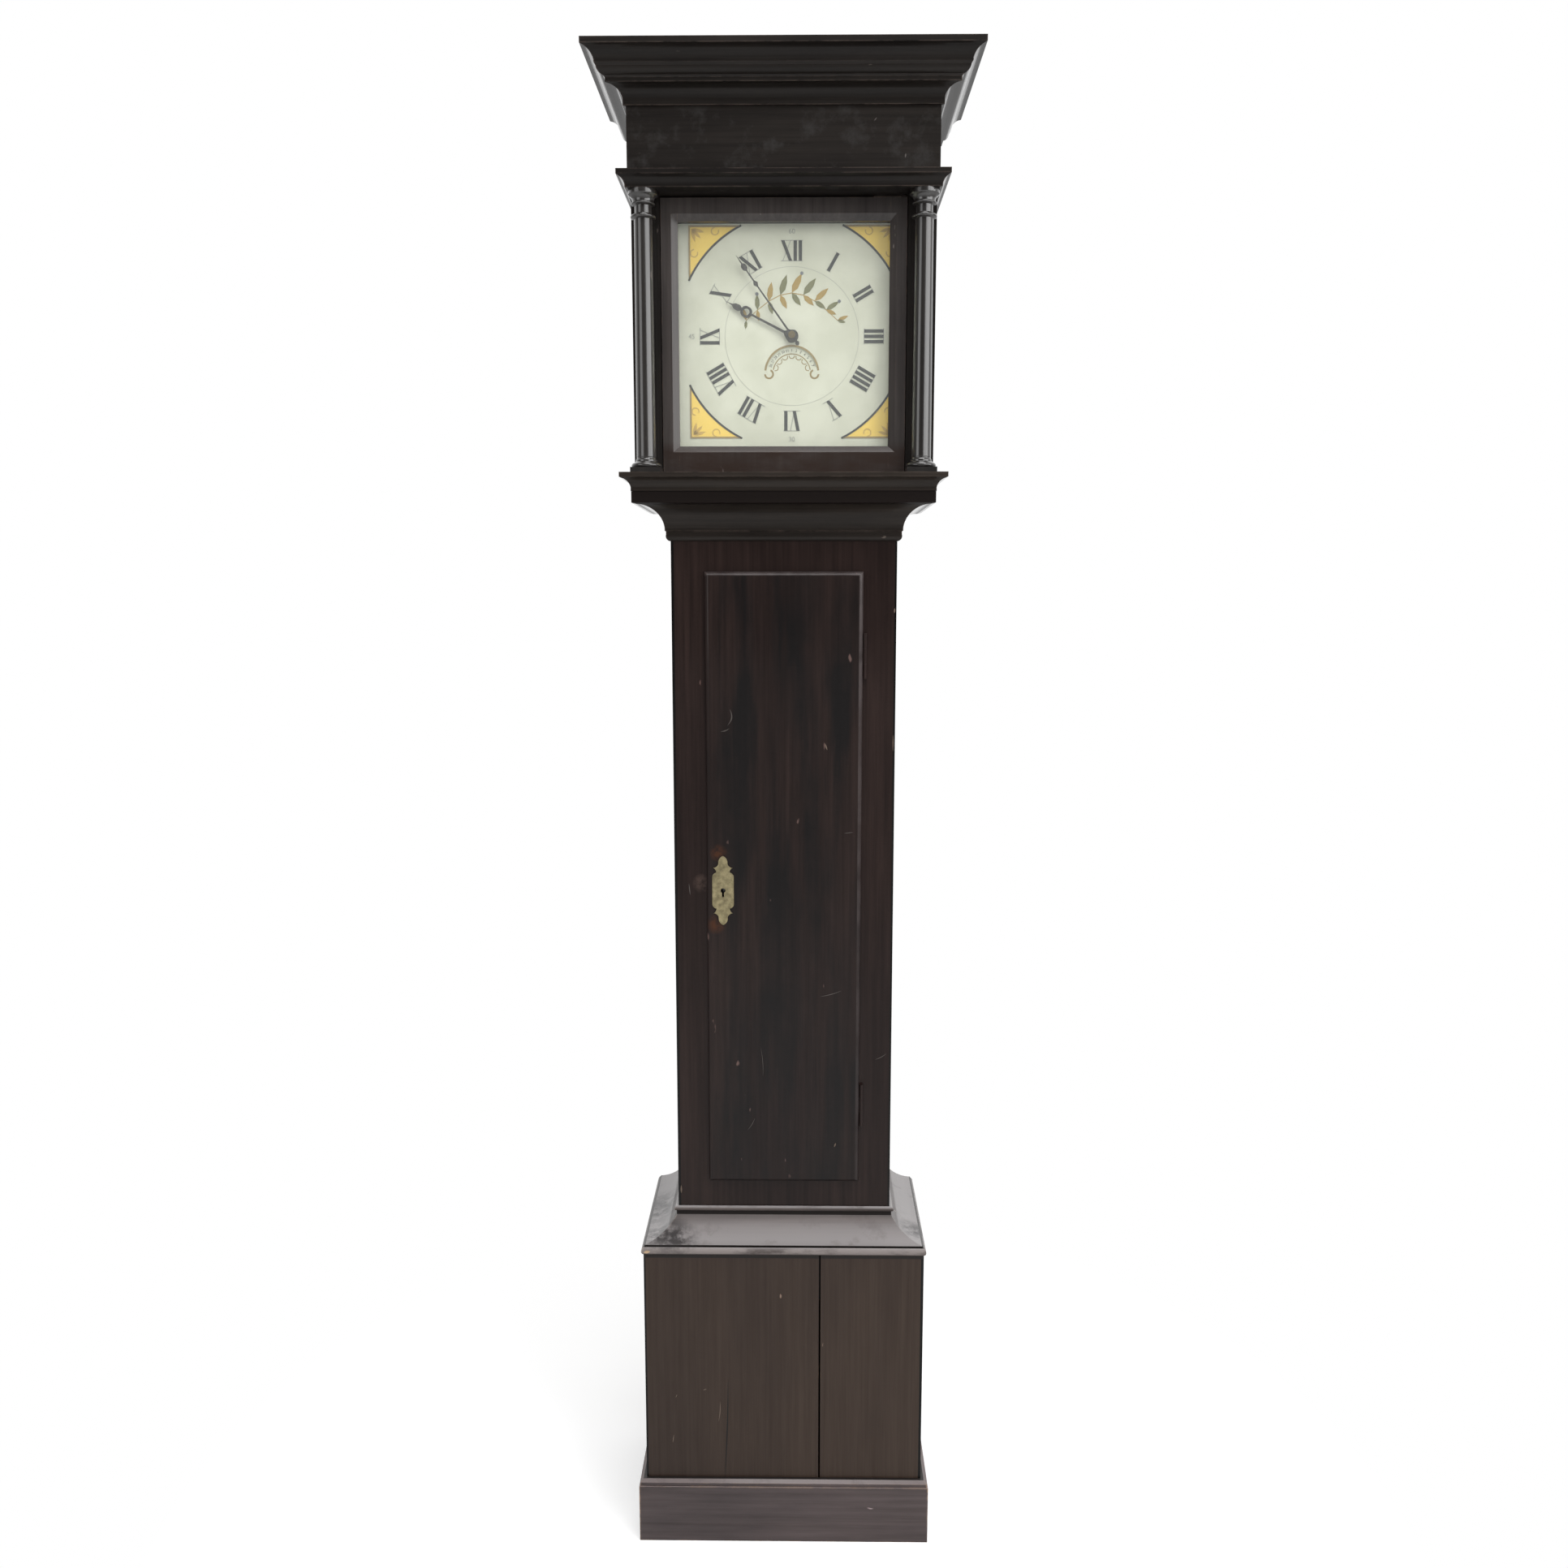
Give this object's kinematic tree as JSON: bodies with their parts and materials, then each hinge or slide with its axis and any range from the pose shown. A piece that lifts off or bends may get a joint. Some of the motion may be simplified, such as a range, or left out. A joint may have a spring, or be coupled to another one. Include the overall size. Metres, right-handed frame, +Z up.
{
  "type": "longcase clock",
  "caption": "Tall floor clock with a flat-topped columned hood, square painted dial, long lipped trunk door and box base, holding a weight-driven striking movement and pendulum.",
  "frame": {"origin": "on the floor under the middle of the overall box", "axes": "+Z up, -Y the front with the dial, +X to the right seen from the front"},
  "size_m": [0.48, 0.268, 1.975],
  "materials": {
    "dark_oak": "dark stained oak, waxed, worn at the edges",
    "plain_oak": "unstained sawn boards",
    "dial_paint": "pale painted sheet iron",
    "brass": "aged brass",
    "bell_metal": "cast bell metal",
    "steel": "polished and darkened steel",
    "glass": "clear window glass",
    "rope": "laid hemp rope",
    "iron": "rough cast iron",
    "lead": "dull cast lead ring, dense metal"
  },
  "bodies": {
    "case": {"backboard": "plain_oak", "trunk_sides": "dark_oak", "trunk_front_frame": "dark_oak", "base_front_boards": "dark_oak", "base_sides": "dark_oak", "base_bottom": "plain_oak", "skirting": "dark_oak", "base_moulding": "dark_oak", "throat_moulding": "dark_oak", "seatboard": "plain_oak", "trunk_hinge_frame_leaves": "brass", "dial_plate": "dial_paint", "front_plate": "brass", "back_plate": "brass", "back_cock": "brass", "bell": "bell_metal", "bell_stand": "steel", "pulley_rope": "rope", "weight_rope": "rope", "ring_rope": "rope"},
    "trunk_door": {"trunk_door_panel": "dark_oak", "trunk_hinge_door_leaves": "brass", "escutcheon": "brass", "lock_case": "steel"},
    "lock_bolt": {"lock_bolt": "steel"},
    "hood": {"hood_sides": "dark_oak", "hood_top": "dark_oak", "hood_frieze": "dark_oak", "hood_front_frame": "dark_oak", "hood_base_frame": "dark_oak", "hood_middle_moulding": "dark_oak", "cornice": "dark_oak", "hood_columns": "dark_oak", "hood_mask": "dark_oak"},
    "hood_door": {"hood_door_frame": "dark_oak", "hood_glass": "glass", "hood_door_straps": "brass"},
    "calendar": {"calendar_disc": "dial_paint"},
    "minute": {"minute_wheel": "brass", "minute_hand": "steel"},
    "hour": {"hour_wheel": "brass", "hour_hand": "steel"},
    "going_great": {"going_great_wheel": "brass"},
    "going_second": {"going_second_wheel": "brass"},
    "escape": {"escape_wheel": "brass"},
    "anchor": {"anchor": "steel"},
    "pendulum": {"pendulum_rod": "steel", "pendulum_bob": "brass"},
    "strike_great": {"strike_great_wheel": "brass"},
    "hoop": {"hoop_wheel": "brass"},
    "warning": {"warning_wheel": "brass"},
    "fly": {"fly": "brass"},
    "count": {"count_wheel": "brass"},
    "hammer": {"hammer": "steel"},
    "weight": {"driving_weight": "iron", "weight_stirrup": "steel", "sheave_rope": "rope"},
    "sheave": {"weight_sheave": "brass"},
    "ring": {"counter_ring": "lead", "ring_loop": "rope"}
  },
  "joints": [
    {"name": "trunk_door_swing", "type": "hinge", "parent": "case", "child": "trunk_door", "pos_m": [0.1069, -0.0449, 0.9355], "axis": [0, 0, 1], "range_deg": [0, 110]},
    {"name": "lock_bolt_slide", "type": "slide", "parent": "trunk_door", "child": "lock_bolt", "axis": [-1, 0, 0], "range_m": [0, 0.008]},
    {"name": "hood_slide", "type": "slide", "parent": "case", "child": "hood", "axis": [0, -1, 0], "range_m": [0, 0.21]},
    {"name": "hood_door_swing", "type": "hinge", "parent": "hood", "child": "hood_door", "pos_m": [0.15, -0.052, 1.649], "axis": [0, 0, 1], "range_deg": [0, 95]},
    {"name": "escape_wheel_turn", "type": "hinge", "parent": "case", "child": "escape", "pos_m": [0.01, 0.038, 1.672], "axis": [0, 1, 0], "continuous": true},
    {"name": "going_second_turn", "type": "hinge", "parent": "case", "child": "going_second", "pos_m": [0.03172, 0.038, 1.64796], "axis": [0, 1, 0], "continuous": true},
    {"name": "going_great_turn", "type": "hinge", "parent": "case", "child": "going_great", "pos_m": [0.042, 0.038, 1.612], "axis": [0, 1, 0], "continuous": true},
    {"name": "minute_hand_turn", "type": "hinge", "parent": "case", "child": "minute", "pos_m": [0.01, 0, 1.656], "axis": [0, 1, 0], "continuous": true},
    {"name": "hour_hand_turn", "type": "hinge", "parent": "case", "child": "hour", "pos_m": [0.01, -0.006, 1.656], "axis": [0, 1, 0], "continuous": true},
    {"name": "calendar_disc_turn", "type": "hinge", "parent": "case", "child": "calendar", "pos_m": [0.01, -0.0195, 1.61], "axis": [0, 1, 0], "continuous": true},
    {"name": "pendulum_swing", "type": "hinge", "parent": "case", "child": "pendulum", "pos_m": [0.01, 0.093, 1.705], "axis": [0, 1, 0], "range_deg": [-2.5, 2.5]},
    {"name": "anchor_swing", "type": "hinge", "parent": "case", "child": "anchor", "pos_m": [0.01, 0.038, 1.705], "axis": [0, 1, 0], "range_deg": [-2.5, 2.5]},
    {"name": "fly_turn", "type": "hinge", "parent": "case", "child": "fly", "pos_m": [-0.02419, 0.038, 1.69801], "axis": [0, 1, 0], "continuous": true},
    {"name": "warning_wheel_turn", "type": "hinge", "parent": "case", "child": "warning", "pos_m": [-0.02419, 0.038, 1.67641], "axis": [0, 1, 0], "continuous": true},
    {"name": "hoop_wheel_turn", "type": "hinge", "parent": "case", "child": "hoop", "pos_m": [-0.02877, 0.038, 1.65041], "axis": [0, 1, 0], "continuous": true},
    {"name": "strike_great_turn", "type": "hinge", "parent": "case", "child": "strike_great", "pos_m": [-0.022, 0.038, 1.612], "axis": [0, 1, 0], "continuous": true},
    {"name": "count_wheel_turn", "type": "hinge", "parent": "case", "child": "count", "pos_m": [-0.022, 0.074, 1.639], "axis": [0, 1, 0], "continuous": true},
    {"name": "hammer_lift", "type": "hinge", "parent": "case", "child": "hammer", "pos_m": [-0.06, 0.038, 1.65], "axis": [0, -1, 0], "range_deg": [0, 18], "stiffness_Nm_per_rad": 0.02},
    {"name": "weight_slide", "type": "slide", "parent": "case", "child": "weight", "axis": [0, 0, 1], "range_m": [-0.76, 0.36], "deforming": ["weight_rope"]},
    {"name": "ring_slide", "type": "slide", "parent": "case", "child": "ring", "axis": [0, 0, 1], "range_m": [-0.36, 0.76], "deforming": ["ring_rope"]},
    {"name": "sheave_turn", "type": "hinge", "parent": "weight", "child": "sheave", "pos_m": [0.01, 0.028, 1.137], "axis": [0, 1, 0], "continuous": true}
  ],
  "couplings": [
    {"joint": "going_second_turn", "follows": "escape_wheel_turn", "ratio": -0.125},
    {"joint": "going_great_turn", "follows": "escape_wheel_turn", "ratio": 0.016667},
    {"joint": "minute_hand_turn", "follows": "escape_wheel_turn", "ratio": -0.016667},
    {"joint": "hour_hand_turn", "follows": "escape_wheel_turn", "ratio": -0.0013889},
    {"joint": "anchor_swing", "follows": "pendulum_swing", "ratio": 1},
    {"joint": "warning_wheel_turn", "follows": "fly_turn", "ratio": -0.125},
    {"joint": "hoop_wheel_turn", "follows": "fly_turn", "ratio": 0.0125},
    {"joint": "strike_great_turn", "follows": "fly_turn", "ratio": -0.0010417},
    {"joint": "count_wheel_turn", "follows": "fly_turn", "ratio": 0.00016026},
    {"joint": "ring_slide", "follows": "weight_slide", "ratio": -1}
  ]
}
